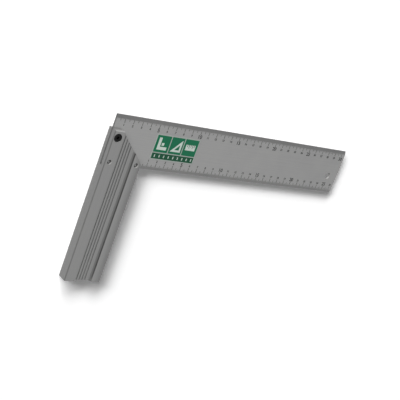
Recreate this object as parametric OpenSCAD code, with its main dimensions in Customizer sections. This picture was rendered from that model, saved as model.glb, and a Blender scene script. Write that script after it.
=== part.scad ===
// Joiner's try and mitre square: a bevelled rule blade clamped in a slotted, mitred stock.
// It is drawn lying flat, from the outer corner of its blade: the blade runs along +X,
// the stock hangs along -Y, and the underside of the stock is at Z = 0.

/* [Blade] */
// Length of the blade, from the outer face of the stock to its free end
blade_len = 305; // [200:1:450]
// Width of the blade
blade_w = 50; // [47:0.5:60]
// Thickness of the blade
blade_t = 2; // [1.5:0.1:3]
// Width of the bevel along each long edge
bevel_w = 3.5; // [2:0.1:4]
// Thickness that the bevel leaves at the edge
edge_t = 0.6; // [0.4:0.1:1]
// Diameter of the hang hole
hang_d = 7; // [4:0.5:10]
// From the free end to the middle of the hang hole
hang_end = 13.8; // [8:0.1:30]
// From the outer edge to the middle of the hang hole
hang_in = 30.7; // [15:0.1:32]

/* [Stock] */
// Width of the stock
stock_w = 40.5; // [39.5:0.5:60]
// Thickness of the stock
stock_t = 12; // [11:0.5:20]
// From the blade's outer edge to the far end of the stock
reach = 170; // [100:1:300]
// How far the 45 degree mitre runs, along the stock and across it
mitre_run = 30; // [24:0.5:31]
// From the mitre's inner corner to the blade's inner edge
mitre_lead = 6; // [5:0.5:8]
// Chamfer of the tip's upper and lower edges
tip_chamfer = 1; // [0.2:0.1:1.5]
// Chamfer of the edges along the outer face
outer_chamfer = 0.7; // [0.2:0.1:1]
// Chamfer of the edges along the inner face
inner_chamfer = 0.5; // [0.3:0.1:1]
// Play of the blade in its slot
slot_play = 0.1; // [0.05:0.01:0.3]

/* [Grip] */
// Width of the plain rim along the outer face
rim_w = 11.3; // [10:0.1:11.5]
// Width of the plain lip along the inner face
lip_w = 10.2; // [9:0.1:10.5]
// Radius of the lip's crown
crown_r = 34; // [20:1:60]
// From the inner face to the crest of the lip
crest_in = 7; // [5:0.1:8]
// Depth of the finger recess, on each side of the stock
grip_depth = 2.6; // [1:0.1:3]
// Radius of the scoop that ends the recess at the lip
scoop_r = 2.6; // [1:0.1:3]
// Number of grooves in the recess
groove_count = 4; // [2:1:4]
// Distance between the grooves
groove_pitch = 3.1; // [2:0.1:3.2]
// Width of a groove
groove_w = 1.2; // [0.8:0.1:1.6]
// From the rim to the middle of the first groove
groove_start = 3.3; // [2:0.1:3.5]

/* [Fasteners] */
// From the outer face to the middle of the corner screw
screw_x = 5.2; // [5:0.1:5.6]
// From the stock's tip to the middle of the corner screw
screw_in = 7; // [5:0.1:8]
// Diameter of the screw's low cap head
head_d = 8; // [7:0.1:8.2]
// Height of the screw's low cap head
head_h = 3; // [2.4:0.1:3.4]
// Chamfer of the head's upper edge
head_chamfer = 0.4; // [0.2:0.1:0.6]
// Depth of the head below the face of the stock
head_sunk = 0.3; // [0.1:0.1:0.6]
// Width across the flats of the hexagon socket
socket_af = 3; // [2.5:0.1:3.5]
// Depth of the hexagon socket
socket_depth = 1.6; // [1:0.1:2]
// Diameter of the screw's shank
shank_d = 5; // [4:0.5:5.5]
// Play of the head in its counterbore, on the diameter
head_play = 0.3; // [0.2:0.05:0.4]
// Play of the shank in the upper cheek and in the blade, on the diameter
shank_play = 0.4; // [0.2:0.05:0.6]
// Play of the shank in the tapped lower cheek, on the diameter
thread_play = 0.05; // [0.02:0.01:0.1]
// Depth of the screw's end below the underside of the stock
tail_sunk = 0.6; // [0.2:0.1:2]
// Diameter of the lock pins
pin_d = 4; // [3:0.1:5]
// From the blade's inner edge to the middle of the lock pins
pin_edge = 4.7; // [3.5:0.1:5.5]
// From the outer face to the outer lock pin
outer_pin_x = 4.9; // [4.2:0.1:6]
// From the inner face to the inner lock pin
inner_pin_x = 5.4; // [5:0.1:6]
// Depth of the crown of each pin end below the face of the stock
pin_sunk = 1; // [0.3:0.1:1.2]
// Radius of the domed pin ends
pin_dome_r = 2.8; // [2.6:0.1:8]
// Width of the countersink at the mouth of each pin hole
mouth_w = 0.5; // [0.2:0.1:0.7]
// Play of the pins in their holes, on the diameter
pin_play = 0.04; // [0.02:0.01:0.1]

/* [Label] */
// Length of the label
label_len = 52; // [20:1:90]
// Width of the label
label_w = 26; // [15:1:28]
// Thickness of the label
label_t = 0.15; // [0.1:0.05:0.3]
// Corner radius of the label
label_r = 1.5; // [0.5:0.1:3]
// From the outer face of the stock to the label
label_x = 50.5; // [45:0.5:80]
// From the blade's outer edge to the label
label_in = 12.5; // [10:0.5:16]

/* [Hidden] */
$fn = 64;
over = 1;
slot_z = (stock_t - blade_t) / 2;
blade_top = slot_z + blade_t;
floor_z = stock_t - grip_depth;
scoop_x = stock_w - lip_w - scoop_r;
tip_gap = blade_w - mitre_lead - mitre_run;
tip_w = stock_w - mitre_run;
screw_y = -tip_gap - screw_in;
bore_floor = stock_t - head_sunk - head_h;
lip_drop = crown_r - sqrt(pow(crown_r, 2) - pow(crest_in, 2));
pin_len = stock_t - 2 * pin_sunk;
pin_dome_h = pin_dome_r - sqrt(pow(pin_dome_r, 2) - pow(pin_d / 2, 2));
pin_bore = pin_d + pin_play;
inner_pin_pos = stock_w - inner_pin_x;
pin_y = pin_edge - blade_w;

// Puts the middle of the outline over the origin
module centred() {
    translate([-blade_len / 2, reach / 2, 0]) children();
}

// Outline of the extrusion before its recesses: flat along the outer face, with a crowned lip inside
module plain_section() {
    polygon([[0, outer_chamfer], [outer_chamfer, 0], [scoop_x, 0],
             [scoop_x, stock_t], [outer_chamfer, stock_t], [0, stock_t - outer_chamfer]]);
    intersection() {
        polygon([[scoop_x - over, 0], [stock_w - inner_chamfer - lip_drop, 0],
                 [stock_w, inner_chamfer + lip_drop], [stock_w, stock_t - inner_chamfer - lip_drop],
                 [stock_w - inner_chamfer - lip_drop, stock_t], [scoop_x - over, stock_t]]);
        translate([stock_w - crest_in, stock_t - crown_r]) circle(r = crown_r);
        translate([stock_w - crest_in, crown_r]) circle(r = crown_r);
    }
}

// Finger recess of the upper side: a flat floor with grooves, which sweeps up to the lip
module recess_section() {
    translate([rim_w, floor_z]) square([scoop_x - rim_w, grip_depth + over]);
    translate([scoop_x, floor_z + scoop_r]) circle(r = scoop_r);
    if (grip_depth > scoop_r)
        translate([rim_w, floor_z + scoop_r]) square([scoop_x + scoop_r - rim_w, grip_depth]);
    for (i = [0 : groove_count - 1])
        translate([rim_w + groove_start + i * groove_pitch, floor_z]) circle(d = groove_w);
}

// Section of the stock, the same on both sides
module stock_section() {
    difference() {
        plain_section();
        recess_section();
        translate([0, stock_t]) mirror([0, 1]) recess_section();
    }
}

// Hole for a lock pin through the stock, with a countersunk mouth on each side
module pin_hole() {
    translate([0, 0, -over]) cylinder(d = pin_bore, h = stock_t + 2 * over);
    for (side = [0, 1])
        translate([0, 0, side * stock_t]) mirror([0, 0, side])
            cylinder(d1 = pin_bore + 2 * mouth_w, d2 = pin_bore, h = mouth_w);
}

// Counterbore, clearance hole and tapped hole of the corner screw
module screw_hole() {
    translate([0, 0, bore_floor]) cylinder(d = head_d + head_play, h = stock_t);
    translate([0, 0, slot_z]) cylinder(d = shank_d + shank_play, h = stock_t);
    translate([0, 0, -over]) cylinder(d = shank_d + thread_play, h = stock_t);
}

module stock() {
    color("#878787") centred() difference() {
        translate([0, -tip_gap, 0]) rotate([90, 0, 0])
            linear_extrude(reach - tip_gap) stock_section();
        // The 45 degree mitre, from the tip to the inner face
        translate([0, 0, -over]) linear_extrude(stock_t + 2 * over)
            polygon([[tip_w - over, over - tip_gap], [stock_w + over, over - tip_gap],
                     [stock_w + over, tip_w - tip_gap - stock_w - over]]);
        // The chamfers of the tip
        for (z = [0, stock_t]) translate([stock_w / 2, -tip_gap, z]) rotate([45, 0, 0])
            cube([2 * stock_w, tip_chamfer * sqrt(2), tip_chamfer * sqrt(2)], center = true);
        // The slot for the blade
        translate([-over, -blade_w, slot_z])
            cube([stock_w + 2 * over, blade_w, blade_t + slot_play]);
        translate([screw_x, screw_y, 0]) screw_hole();
        for (x = [outer_pin_x, inner_pin_pos]) translate([x, pin_y, 0]) pin_hole();
    }
}

module blade() {
    color("#969696") centred() difference() {
        translate([0, 0, slot_z]) rotate([90, 0, 90]) linear_extrude(blade_len)
            polygon([[0, 0], [0, edge_t], [-bevel_w, blade_t], [bevel_w - blade_w, blade_t],
                     [-blade_w, edge_t], [-blade_w, 0]]);
        translate([screw_x, screw_y, 0]) cylinder(d = shank_d + shank_play, h = stock_t);
        for (x = [outer_pin_x, inner_pin_pos])
            translate([x, pin_y, 0]) cylinder(d = pin_bore, h = stock_t);
        translate([blade_len - hang_end, -hang_in, 0]) cylinder(d = hang_d, h = stock_t);
    }
}

// Low cap screw, with its head seated on the floor of the counterbore
module corner_screw() {
    color("#1a1a1a") centred() translate([screw_x, screw_y, 0]) difference() {
        union() {
            translate([0, 0, tail_sunk]) cylinder(d = shank_d, h = bore_floor - tail_sunk + over);
            translate([0, 0, bore_floor]) cylinder(d = head_d, h = head_h - head_chamfer);
            translate([0, 0, bore_floor + head_h - head_chamfer])
                cylinder(d1 = head_d, d2 = head_d - 2 * head_chamfer, h = head_chamfer);
        }
        translate([0, 0, bore_floor + head_h - socket_depth])
            cylinder(d = socket_af / cos(30), h = socket_depth + over, $fn = 6);
    }
}

// Straight pin with domed ends, driven through both cheeks and the blade
module lock_pin(x) {
    color("#8f8f8f") centred() translate([x, pin_y, pin_sunk]) {
        translate([0, 0, pin_dome_h]) cylinder(d = pin_d, h = pin_len - 2 * pin_dome_h);
        for (z = [pin_dome_r, pin_len - pin_dome_r])
            intersection() {
                translate([0, 0, z]) sphere(r = pin_dome_r);
                cylinder(d = pin_d, h = pin_len);
            }
    }
}

module outer_lock_pin() {
    lock_pin(outer_pin_x);
}

module inner_lock_pin() {
    lock_pin(inner_pin_pos);
}

// Thin label stuck on the blade
module label() {
    color("#dfe8df") centred() translate([label_x, -label_in - label_w, blade_top])
        linear_extrude(label_t) {
            translate([label_r, 0]) square([label_len - 2 * label_r, label_w]);
            translate([0, label_r]) square([label_len, label_w - 2 * label_r]);
            for (x = [label_r, label_len - label_r], y = [label_r, label_w - label_r])
                translate([x, y]) circle(r = label_r);
        }
}

stock();
blade();
corner_screw();
outer_lock_pin();
inner_lock_pin();
label();
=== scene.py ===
import math

import bmesh
import bpy
from mathutils import Matrix, Quaternion, Vector


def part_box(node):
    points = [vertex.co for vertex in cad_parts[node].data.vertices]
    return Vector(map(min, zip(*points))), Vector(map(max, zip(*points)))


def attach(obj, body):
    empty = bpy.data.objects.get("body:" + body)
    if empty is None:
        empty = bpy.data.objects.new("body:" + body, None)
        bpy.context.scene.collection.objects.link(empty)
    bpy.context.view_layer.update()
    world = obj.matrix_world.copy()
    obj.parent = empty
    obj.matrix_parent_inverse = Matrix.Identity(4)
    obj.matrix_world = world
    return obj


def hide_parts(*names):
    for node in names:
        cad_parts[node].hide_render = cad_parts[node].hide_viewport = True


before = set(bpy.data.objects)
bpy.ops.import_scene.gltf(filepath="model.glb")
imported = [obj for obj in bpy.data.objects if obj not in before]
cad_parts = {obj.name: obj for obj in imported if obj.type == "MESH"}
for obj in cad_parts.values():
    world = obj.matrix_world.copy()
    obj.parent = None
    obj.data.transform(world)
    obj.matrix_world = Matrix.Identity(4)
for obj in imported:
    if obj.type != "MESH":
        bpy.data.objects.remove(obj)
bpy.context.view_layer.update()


# STOCK
# An extruded aluminium bar with a finger grip on each side, sawn to a 45 degree mitre at its head
# and slotted for the blade. It is matt anodised grey, with bare sawn ends and deburred edges.

MM = 0.001
# Points that are closer than this are taken as one.
weld = 0.002 * MM


def make_piece(name, bm):
    """Turns a bmesh into a piece at the origin."""
    mesh = bpy.data.meshes.new(name)
    bm.to_mesh(mesh)
    bm.free()
    piece = bpy.data.objects.new(name, mesh)
    bpy.context.scene.collection.objects.link(piece)
    return piece


def deburr(node, radius, crease):
    """A copy of a CAD solid with its sharp edges rounded, which stands for that solid.
    Faces that meet at more than the crease, in degrees, are shaded apart."""
    flat_angle = math.radians(0.3)
    sharp_angle = math.radians(30)
    bm = bmesh.new()
    bm.from_mesh(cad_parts[node].data)
    bmesh.ops.remove_doubles(bm, verts=bm.verts, dist=weld)
    bmesh.ops.dissolve_limit(bm, angle_limit=flat_angle, verts=bm.verts, edges=bm.edges)
    sharp = [edge for edge in bm.edges if edge.calc_face_angle(0) > sharp_angle]
    bmesh.ops.bevel(bm, geom=sharp, offset=radius, affect="EDGES", segments=2, profile=0.5, material=-1)
    bm.normal_update()
    for face in bm.faces:
        face.smooth = True
    for edge in bm.edges:
        edge.smooth = edge.calc_face_angle(0) < math.radians(crease)
    piece = make_piece(node + "_deburred", bm)
    weighted = piece.modifiers.new("flat_faces", "WEIGHTED_NORMAL")
    weighted.keep_sharp = True
    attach(piece, "root")
    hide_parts(node)
    return piece


def linear(code):
    """Linear RGBA of an sRGB hex colour."""
    channels = [int(code[i:i + 2], 16) / 255 for i in (1, 3, 5)]
    return tuple(c / 12.92 if c <= 0.04045 else ((c + 0.055) / 1.055) ** 2.4 for c in channels) + (1.0,)


def add_node(tree, kind, sockets=None, **settings):
    """Adds a node with its settings, fills or links its sockets and gives its outputs."""
    made = tree.nodes.new("ShaderNode" + kind)
    for name, value in settings.items():
        setattr(made, name, value)
    for socket, value in (sockets or {}).items():
        if isinstance(value, bpy.types.NodeSocket):
            tree.links.new(value, made.inputs[socket])
        else:
            made.inputs[socket].default_value = value
    return made.outputs


def start_material(name):
    """An empty material and its node tree."""
    material = bpy.data.materials.new(name)
    material.use_nodes = True
    material.node_tree.nodes.clear()
    return material, material.node_tree


def dress(piece, material):
    """Gives the whole piece one material."""
    piece.data.materials.clear()
    piece.data.materials.append(material)


# Matt anodised extruded aluminium: an even grey with faint die lines along the bar.
# Real die lines are about 0.2 mm apart; they are drawn 0.9 mm apart so that they show.
die_line = 0.9 * MM
die_length = 160 * MM
cloud_width = 18 * MM
anodised, tree = start_material("anodised_aluminium_extruded")
coords = add_node(tree, "TexCoord")
stretched = add_node(tree, "Mapping", {"Vector": coords["Object"],
                                       "Scale": (1 / die_line, 1 / die_length, 1 / die_line)})
lines = add_node(tree, "TexNoise", {"Vector": stretched["Vector"], "Scale": 1.0, "Detail": 2.0})
clouds = add_node(tree, "TexNoise", {"Vector": coords["Object"], "Scale": 1 / cloud_width, "Detail": 3.0})
blend = add_node(tree, "Math", {0: lines["Fac"], 1: clouds["Fac"]}, operation="ADD")
tone = add_node(tree, "MapRange", {"Value": blend["Value"], "From Min": 0.7, "From Max": 1.3})
grey = add_node(tree, "Mix", {0: tone["Result"], 6: linear("#7e7e7e"), 7: linear("#868685")},
                data_type="RGBA")
# The sawn faces, across the bar or at 45 degrees, and the drilled walls of the pin holes are bare
# bright metal that scatters the light. The walls are found by their distance from the pins' axes.
drill_reach = 2.4 * MM
facing = add_node(tree, "SeparateXYZ", {"Vector": coords["Normal"]})
across = add_node(tree, "Math", {0: facing["Y"]}, operation="ABSOLUTE")
sawn = add_node(tree, "MapRange", {"Value": across["Value"], "From Min": 0.6, "From Max": 0.68})
flat_place = add_node(tree, "VectorMath", {0: coords["Object"], 1: (1, 1, 0)}, operation="MULTIPLY")
from_pin = []
for name in ("outer_lock_pin", "inner_lock_pin"):
    pin_low, pin_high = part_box(name)
    pin_axis = ((pin_low.x + pin_high.x) / 2, (pin_low.y + pin_high.y) / 2, 0)
    from_pin.append(add_node(tree, "VectorMath", {0: flat_place["Vector"], 1: pin_axis},
                             operation="DISTANCE"))
nearest = add_node(tree, "Math", {0: from_pin[0]["Value"], 1: from_pin[1]["Value"]},
                   operation="MINIMUM")
drilled = add_node(tree, "Math", {0: nearest["Value"], 1: drill_reach}, operation="LESS_THAN")
bare = add_node(tree, "Math", {0: sawn["Result"], 1: drilled["Value"]}, operation="MAXIMUM")
colour = add_node(tree, "Mix", {0: bare["Value"], 6: grey[2], 7: linear("#949493")}, data_type="RGBA")
metal = add_node(tree, "MapRange", {"Value": bare["Value"], "To Min": 1.0, "To Max": 0.5})
rough = add_node(tree, "MapRange", {"Value": tone["Result"], "To Min": 0.34, "To Max": 0.42})
relief = add_node(tree, "Bump", {"Height": lines["Fac"], "Strength": 0.15, "Distance": 0.02 * MM})
surface = add_node(tree, "BsdfPrincipled", {"Base Color": colour[2], "Metallic": metal["Result"],
                                            "Roughness": rough["Result"], "Normal": relief["Normal"]})
add_node(tree, "OutputMaterial", {"Surface": surface["BSDF"]})
stock = deburr("stock", radius=0.15 * MM, crease=25)
dress(stock, anodised)


# BLADE
# A 2 mm aluminium rule with a bevel along both long edges, drilled for its fasteners and a hang hole.
# It is brushed along its length and clear anodised.

# Brushed anodised aluminium sheet: a satin grey, a little streaky along the blade.
# Real brush lines are about 0.1 mm apart; they are drawn 0.8 mm apart so that they show.
brush_line = 0.8 * MM
brush_length = 45 * MM
cloud_width = 25 * MM
brushed, tree = start_material("brushed_aluminium_sheet")
coords = add_node(tree, "TexCoord")
stretched = add_node(tree, "Mapping", {"Vector": coords["Object"],
                                       "Scale": (1 / brush_length, 1 / brush_line, 1 / brush_line)})
lines = add_node(tree, "TexNoise", {"Vector": stretched["Vector"], "Scale": 1.0, "Detail": 3.0})
clouds = add_node(tree, "TexNoise", {"Vector": coords["Object"], "Scale": 1 / cloud_width, "Detail": 2.0})
blend = add_node(tree, "Math", {0: lines["Fac"], 1: clouds["Fac"]}, operation="ADD")
tone = add_node(tree, "MapRange", {"Value": blend["Value"], "From Min": 0.7, "From Max": 1.3})
colour = add_node(tree, "Mix", {0: tone["Result"], 6: linear("#8c8c8c"), 7: linear("#949493")},
                  data_type="RGBA")
# The bevels are painted a little darker than the brushed faces, a painted shade of the dark band that the
# tilted bevels show.
# The sheared ends are painted darker still, a painted shade of the shadowed table that they reflect.
# The hang hole is drilled after the anodising, so its wall is bare metal that scatters the light.
# The anodised faces scatter some of it too, while the bevels and the ends keep the full shine of metal.
hang_hole_from_end = 13.8 * MM
hang_hole_from_edge = 30.7 * MM
hang_hole_reach = 3.8 * MM
facing = add_node(tree, "SeparateXYZ", {"Vector": coords["Normal"]})
upward = add_node(tree, "Math", {0: facing["Z"]}, operation="ABSOLUTE")
flat = add_node(tree, "MapRange", {"Value": upward["Value"], "From Min": 0.95, "From Max": 0.985})
# The bevels' darker grey is painted shade, not a different finish.
painted_bevel_shade = add_node(tree, "Mix", {0: tone["Result"], 6: linear("#818181"), 7: linear("#898988")},
                  data_type="RGBA")
top_grey_with_bevel_shade = add_node(tree, "Mix", {0: flat["Result"], 6: painted_bevel_shade[2], 7: colour[2]}, data_type="RGBA")
upright_shade_mask = add_node(tree, "MapRange", {"Value": upward["Value"], "From Min": 0.2, "From Max": 0.4})
blade_low, blade_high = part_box("blade")
hang_axis = (blade_high.x - hang_hole_from_end, blade_high.y - hang_hole_from_edge, 0)
flat_place = add_node(tree, "VectorMath", {0: coords["Object"], 1: (1, 1, 0)}, operation="MULTIPLY")
from_axis = add_node(tree, "VectorMath", {0: flat_place["Vector"], 1: hang_axis}, operation="DISTANCE")
bare = add_node(tree, "Math", {0: from_axis["Value"], 1: hang_hole_reach}, operation="LESS_THAN")
# The dark grey of the sheared ends is painted shade; the hang hole's bright wall is its bare metal.
end_shade_and_hole_wall = add_node(tree, "Mix", {0: bare["Value"], 6: linear("#5c5c5b"), 7: linear("#a4a4a3")},
                data_type="RGBA")
colour_and_painted_shade = add_node(tree, "Mix", {0: upright_shade_mask["Result"], 6: end_shade_and_hole_wall[2], 7: top_grey_with_bevel_shade[2]}, data_type="RGBA")
shine = add_node(tree, "MapRange", {"Value": flat["Result"], "To Min": 1.0, "To Max": 0.55})
metal = add_node(tree, "Mix", {0: bare["Value"], 2: shine["Result"], 3: 0.5})
rough = add_node(tree, "MapRange", {"Value": tone["Result"], "To Min": 0.33, "To Max": 0.43})
relief = add_node(tree, "Bump", {"Height": lines["Fac"], "Strength": 0.12, "Distance": 0.02 * MM})
surface = add_node(tree, "BsdfPrincipled", {"Base Color": colour_and_painted_shade[2], "Metallic": metal[0],
                                            "Roughness": rough["Result"], "Normal": relief["Normal"]})
add_node(tree, "OutputMaterial", {"Surface": surface["BSDF"]})
blade = deburr("blade", radius=0.25 * MM, crease=15)
dress(blade, brushed)


# GRADUATIONS
# Millimetre, half centimetre and centimetre lines along both edges of the blade, from its bevels inwards.
# They are engraved in the flat and filled with black ink, which stands a hair proud of the metal.

stock_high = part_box("stock")[1]
blade_top = blade_high.z
bevel_width = 3.5 * MM
bevel_clearance = 0.1 * MM
ink_depth = 0.03 * MM
# The width of a line, and the end of it from the edge
line_marks = {"millimetre": (0.06 * MM, 4.6 * MM),
              "half": (0.38 * MM, 5.6 * MM),
              "full": (0.46 * MM, 7.3 * MM)}


def add_line(bm, x, edge, inward, width, reach):
    """One ink line square to a long edge of the blade, on its flat."""
    start = bevel_width + bevel_clearance
    middle = (x, edge + inward * (start + reach) / 2, blade_top + ink_depth / 2)
    size = (width, reach - start, ink_depth)
    bmesh.ops.create_cube(bm, size=1.0, matrix=Matrix.LocRotScale(middle, None, size))


scales = [{"zero": blade_low.x, "edge": blade_high.y, "inward": -1, "last": 300},
          {"zero": stock_high.x, "edge": blade_low.y, "inward": 1, "last": 260}]
bm = bmesh.new()
for scale in scales:
    for millimetre in range(1, scale["last"] + 1):
        kind = "full" if millimetre % 10 == 0 else "half" if millimetre % 5 == 0 else "millimetre"
        width, reach = line_marks[kind]
        add_line(bm, scale["zero"] + millimetre * MM, scale["edge"], scale["inward"], width, reach)
graduations = make_piece("graduations", bm)

# Black epoxy ink, rubbed down: nearly black, with thin grey patches where it has worn.
worn_width = 4 * MM
ink, tree = start_material("black_filled_ink")
coords = add_node(tree, "TexCoord")
worn = add_node(tree, "TexNoise", {"Vector": coords["Object"], "Scale": 1 / worn_width, "Detail": 3.0})
tone = add_node(tree, "MapRange", {"Value": worn["Fac"], "From Min": 0.4, "From Max": 0.75})
colour = add_node(tree, "Mix", {0: tone["Result"], 6: linear("#0e0e0e"), 7: linear("#262626")},
                  data_type="RGBA")
surface = add_node(tree, "BsdfPrincipled", {"Base Color": colour[2], "Roughness": 0.6,
                                            "Specular IOR Level": 0.3})
add_node(tree, "OutputMaterial", {"Surface": surface["BSDF"]})
dress(graduations, ink)
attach(graduations, "root")


# NUMERALS
# Centimetre numbers of both scales, every fifth one larger. They stand clear of the ends of the lines,
# and are engraved and filled with the same ink.

# The height of a number, and its middle from the edge
small_number = (2.1 * MM, 9.4 * MM)
large_number = (3.8 * MM, 9.5 * MM)
stroke_gain = 0.11 * MM
sliver_area = 0.00001 * MM * MM


def add_number(bm, text, x, y, height):
    """One bold number as ink on the flat of the blade, with its middle at x, y."""
    figure_share = 0.72
    curve = bpy.data.curves.new("number", "FONT")
    curve.body = text
    curve.size = height / figure_share
    curve.offset = stroke_gain
    curve.align_x = "CENTER"
    curve.extrude = ink_depth / 2
    curve.resolution_u = 3
    holder = bpy.data.objects.new("number", curve)
    bpy.context.scene.collection.objects.link(holder)
    bpy.context.view_layer.update()
    mesh = bpy.data.meshes.new_from_object(holder.evaluated_get(bpy.context.evaluated_depsgraph_get()))
    rises = [vertex.co.y for vertex in mesh.vertices]
    own_middle = (min(rises) + max(rises)) / 2
    mesh.transform(Matrix.Translation((x, y - own_middle, blade_top + ink_depth / 2)))
    bm.from_mesh(mesh)
    bpy.data.objects.remove(holder)
    bpy.data.curves.remove(curve)
    bpy.data.meshes.remove(mesh)


bm = bmesh.new()
for scale in scales:
    for centimetre in range(1, scale["last"] // 10 + 1):
        height, middle = small_number if centimetre % 5 else large_number
        add_number(bm, str(centimetre), scale["zero"] + centimetre * 10 * MM,
                   scale["edge"] + scale["inward"] * middle, height)
bmesh.ops.remove_doubles(bm, verts=bm.verts, dist=weld)
bmesh.ops.dissolve_degenerate(bm, dist=weld, edges=bm.edges)
# Slivers without an area are joined to the faces beside them.
slivers = [face for face in bm.faces if face.calc_area() < sliver_area]
long_sides = [max(face.edges, key=lambda edge: edge.calc_length()) for face in slivers]
bmesh.ops.dissolve_edges(bm, edges=long_sides)
bmesh.ops.recalc_face_normals(bm, faces=bm.faces)
numerals = make_piece("numerals", bm)
dress(numerals, ink)
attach(numerals, "root")


# CORNER SCREW
# A low-head cap screw of blackened steel, through the upper cheek of the stock and the blade.
# It is tightened into the tapped lower cheek, so that the slotted head clamps the blade.

# Black oxide on steel: a thin dark skin, a little patchy, with a dull shine.
patch_width = 1.5 * MM
oxide, tree = start_material("black_oxide_steel")
coords = add_node(tree, "TexCoord")
patch = add_node(tree, "TexNoise", {"Vector": coords["Object"], "Scale": 1 / patch_width, "Detail": 3.0})
colour = add_node(tree, "Mix", {0: patch["Fac"], 6: linear("#070707"), 7: linear("#101010")},
                  data_type="RGBA")
rough = add_node(tree, "MapRange", {"Value": patch["Fac"], "To Min": 0.3, "To Max": 0.5})
surface = add_node(tree, "BsdfPrincipled", {"Base Color": colour[2], "Metallic": 0.2,
                                            "Roughness": rough["Result"], "Specular IOR Level": 0.15})
add_node(tree, "OutputMaterial", {"Surface": surface["BSDF"]})
dress(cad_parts["corner_screw"], oxide)


# LOCK PINS
# Two ground steel pins with domed ends, driven through both cheeks of the stock and the blade.
# They lock the blade at a right angle.

# Ground steel: smooth, with faint marks of the wheel. Its grey is painted darker than bright steel, as
# painted shade of the pins' sunk ends.
# Real grinding marks are under 0.1 mm wide; they are drawn 0.5 mm wide so that they show.
grind_width = 0.5 * MM
shaded_steel, tree = start_material("ground_steel_painted_shade")
coords = add_node(tree, "TexCoord")
grind = add_node(tree, "TexNoise", {"Vector": coords["Object"], "Scale": 1 / grind_width, "Detail": 2.0})
# The dark grey of the pins is painted shade of their sunk ends.
colour = add_node(tree, "Mix", {0: grind["Fac"], 6: linear("#6c6c6c"), 7: linear("#828282")},
                  data_type="RGBA")
surface = add_node(tree, "BsdfPrincipled", {"Base Color": colour[2], "Metallic": 1.0, "Roughness": 0.22})
add_node(tree, "OutputMaterial", {"Surface": surface["BSDF"]})
for name in ("outer_lock_pin", "inner_lock_pin"):
    dress(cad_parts[name], shaded_steel)


# LABEL
# A satin silver polyester film stuck on the blade, printed in green with plain pictograms:
# a right angle, a mitre and a rule, over a strip with a row of ticks.

label_low, label_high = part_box("label")
print_depth = 0.02 * MM

# Silver polyester film: satin and pale, with a slight waviness where it is stuck down.
wave_width = 6 * MM
film, tree = start_material("silver_polyester_film")
coords = add_node(tree, "TexCoord")
wave = add_node(tree, "TexNoise", {"Vector": coords["Object"], "Scale": 1 / wave_width, "Detail": 2.0})
colour = add_node(tree, "Mix", {0: wave["Fac"], 6: linear("#8d9490"), 7: linear("#9aa19c")},
                  data_type="RGBA")
relief = add_node(tree, "Bump", {"Height": wave["Fac"], "Strength": 0.2, "Distance": 0.05 * MM})
surface = add_node(tree, "BsdfPrincipled", {"Base Color": colour[2], "Roughness": 0.45,
                                            "Normal": relief["Normal"]})
add_node(tree, "OutputMaterial", {"Surface": surface["BSDF"]})
dress(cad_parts["label"], film)


def add_bar(bm, x0, y0, x1, y1, layer):
    """One printed rectangle; x and y are millimetres from the label's lower left corner."""
    size = (abs(x1 - x0) * MM, abs(y1 - y0) * MM, print_depth)
    middle = (label_low.x + (x0 + x1) / 2 * MM, label_low.y + (y0 + y1) / 2 * MM,
              label_high.z + (layer + 0.5) * print_depth)
    bmesh.ops.create_cube(bm, size=1.0, matrix=Matrix.LocRotScale(middle, None, size))


def add_shape(bm, corners, layer, outline=None):
    """One printed shape, filled or as an outline of some width; its corners are millimetres from
    the label's lower left corner."""
    height = label_high.z + layer * print_depth
    points = [bm.verts.new((label_low.x + x * MM, label_low.y + y * MM, height)) for x, y in corners]
    faces = [bm.faces.new(points)]
    if outline:
        faces[0].normal_update()
        inset = bmesh.ops.inset_individual(bm, faces=faces, thickness=outline * MM, use_even_offset=True)
        bmesh.ops.delete(bm, geom=faces, context="FACES")
        faces = inset["faces"]
    raised = bmesh.ops.extrude_face_region(bm, geom=faces)["geom"]
    top = [item for item in raised if isinstance(item, bmesh.types.BMVert)]
    bmesh.ops.translate(bm, verts=top, vec=(0, 0, print_depth))
    bmesh.ops.recalc_face_normals(bm, faces=bm.faces)


green = bmesh.new()
dark = bmesh.new()
pale = bmesh.new()
# Left panel: a right angle with its corner mark
add_bar(green, 1, 7.8, 17.4, 25, layer=0)
add_shape(pale, ((3.8, 10.3), (15, 10.3), (15, 13.5), (7, 13.5), (7, 22.7), (3.8, 22.7)), layer=1)
add_bar(pale, 8.3, 14.8, 11.1, 17.6, layer=1)
# Middle panel: a mitre triangle
add_bar(green, 18.4, 7.8, 33.6, 25, layer=0)
add_shape(pale, ((20, 10.2), (32, 10.2), (32, 22.8)), layer=1, outline=2)
# Right panel: a rule with its marks
add_bar(green, 34.6, 7.8, 51, 25, layer=0)
add_bar(pale, 37, 13.6, 48.6, 19.4, layer=1)
for mark in range(5):
    mark_foot = 15.8 if mark % 2 else 17
    add_bar(dark, 38.6 + mark * 2, mark_foot, 39.2 + mark * 2, 19.4, layer=2)
# Foot strip: a row of ticks
add_bar(dark, 1, 1, 51, 6.8, layer=0)
for tick in range(9):
    add_bar(pale, 4 + tick * 5.5, 2.6, 5 + tick * 5.5, 5.2, layer=1)

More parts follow.
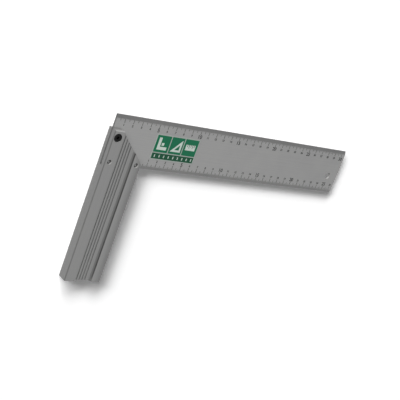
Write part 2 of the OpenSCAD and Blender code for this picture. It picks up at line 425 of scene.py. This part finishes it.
# Screen print: flat ink films whose tone drifts a little, from the pull of the squeegee.
drift_width = 3 * MM
for bm, name, low_tone, high_tone in ((green, "green_screen_print", "#07573a", "#0b6344"),
                                      (dark, "dark_green_screen_print", "#033a25", "#06452d"),
                                      (pale, "pale_screen_print", "#b4bfb8", "#c3cdc6")):
    printed = make_piece("label_" + name, bm)
    print_ink, tree = start_material(name)
    coords = add_node(tree, "TexCoord")
    drift = add_node(tree, "TexNoise", {"Vector": coords["Object"], "Scale": 1 / drift_width,
                                        "Detail": 3.0})
    colour = add_node(tree, "Mix", {0: drift["Fac"], 6: linear(low_tone), 7: linear(high_tone)},
                      data_type="RGBA")
    surface = add_node(tree, "BsdfPrincipled", {"Base Color": colour[2], "Roughness": 0.5,
                                                "Specular IOR Level": 0.3})
    add_node(tree, "OutputMaterial", {"Surface": surface["BSDF"]})
    dress(printed, print_ink)
    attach(printed, "root")


# FLOOR
# A plain white table top under the square, which isn't part of it. It glows a little for the camera
# and in reflections, so that it is white where the lamps reach it and keeps the shadow.

floor_half = 4.0
bm = bmesh.new()
bmesh.ops.create_grid(bm, x_segments=1, y_segments=1, size=floor_half)
floor = make_piece("floor", bm)
white, tree = start_material("white_table")
light_path = add_node(tree, "LightPath")
paint = add_node(tree, "BsdfDiffuse", {"Color": linear("#f9f9f9")})
glow = add_node(tree, "Emission", {"Color": linear("#ffffff"), "Strength": 0.18})
glowing = add_node(tree, "AddShader", {0: paint["BSDF"], 1: glow["Emission"]})
seen = add_node(tree, "Math", {0: light_path["Is Camera Ray"], 1: light_path["Is Glossy Ray"]},
                operation="MAXIMUM")
mixed = add_node(tree, "MixShader", {0: seen["Value"], 1: paint["BSDF"], 2: glowing["Shader"]})
add_node(tree, "OutputMaterial", {"Surface": mixed["Shader"]})
dress(floor, white)


# LIGHT
# A row of three soft lamps behind the corner of the square, and a studio dome that is brightest
# where the top faces look when they are seen from the camera.

key_height = math.radians(20)
key_heading = 135
key_step = 17
for step in (-1, 0, 1):
    heading = math.radians(key_heading + key_step * step)
    key_from = Vector((math.cos(heading), math.sin(heading), math.tan(key_height)))
    key = bpy.data.lights.new("key", "SUN")
    key.energy = 2.65
    key.angle = math.radians(17)
    key_lamp = bpy.data.objects.new("key", key)
    key_lamp.rotation_mode = "QUATERNION"
    key_lamp.rotation_quaternion = key_from.to_track_quat("Z", "Y")
    key_lamp.visible_glossy = False
    bpy.context.scene.collection.objects.link(key_lamp)

world = bpy.data.worlds.new("studio_dome")
bpy.context.scene.world = world
world.use_nodes = True
tree = world.node_tree
tree.nodes.clear()
# A wide haze with a brighter panel in it
brightest = (0.42, -0.30, 0.857)
coords = add_node(tree, "TexCoord")
towards = add_node(tree, "VectorMath", {0: coords["Generated"], 1: brightest}, operation="DOT_PRODUCT")
haze = add_node(tree, "MapRange", {"Value": towards["Value"], "From Min": 0.3, "From Max": 0.85,
                                   "To Min": 0.64, "To Max": 0.75})
panel = add_node(tree, "MapRange", {"Value": towards["Value"], "From Min": 0.93, "From Max": 0.97,
                                    "To Min": 0.0, "To Max": 0.66})
dome = add_node(tree, "Math", {0: haze["Result"], 1: panel["Result"]}, operation="ADD")
# The dome is meant for the shine of the metal, so little of it falls on matt surfaces.
light_path = add_node(tree, "LightPath")
fill = add_node(tree, "MapRange", {"Value": light_path["Is Diffuse Ray"], "To Min": 1.0, "To Max": 0.05})
level = add_node(tree, "Math", {0: dome["Value"], 1: fill["Result"]}, operation="MULTIPLY")
dim = add_node(tree, "Background", {"Color": linear("#ffffff"), "Strength": level["Value"]})
plain = add_node(tree, "Background", {"Color": linear("#ffffff"), "Strength": 1.0})
mixed = add_node(tree, "MixShader", {0: light_path["Is Camera Ray"], 1: dim["Background"],
                                     2: plain["Background"]})
add_node(tree, "OutputWorld", {"Surface": mixed["Shader"]})


# CAMERA
# It looks down on the square from beyond its corner and is rolled, so that the blade runs to the right.

eye = Vector((-0.64545, 0.30056, 0.70512))
aim = Vector((-0.01729, 0.00710, 0.0))
roll = Quaternion((0, 0, 1), math.radians(129.237))
lens = bpy.data.cameras.new("camera")
lens.lens = 87.69
lens.sensor_width = 36.0
camera = bpy.data.objects.new("camera", lens)
camera.location = eye
camera.rotation_mode = "QUATERNION"
camera.rotation_quaternion = (aim - eye).to_track_quat("-Z", "Y") @ roll
bpy.context.scene.collection.objects.link(camera)
bpy.context.scene.camera = camera
bpy.context.scene.view_settings.view_transform = "Standard"
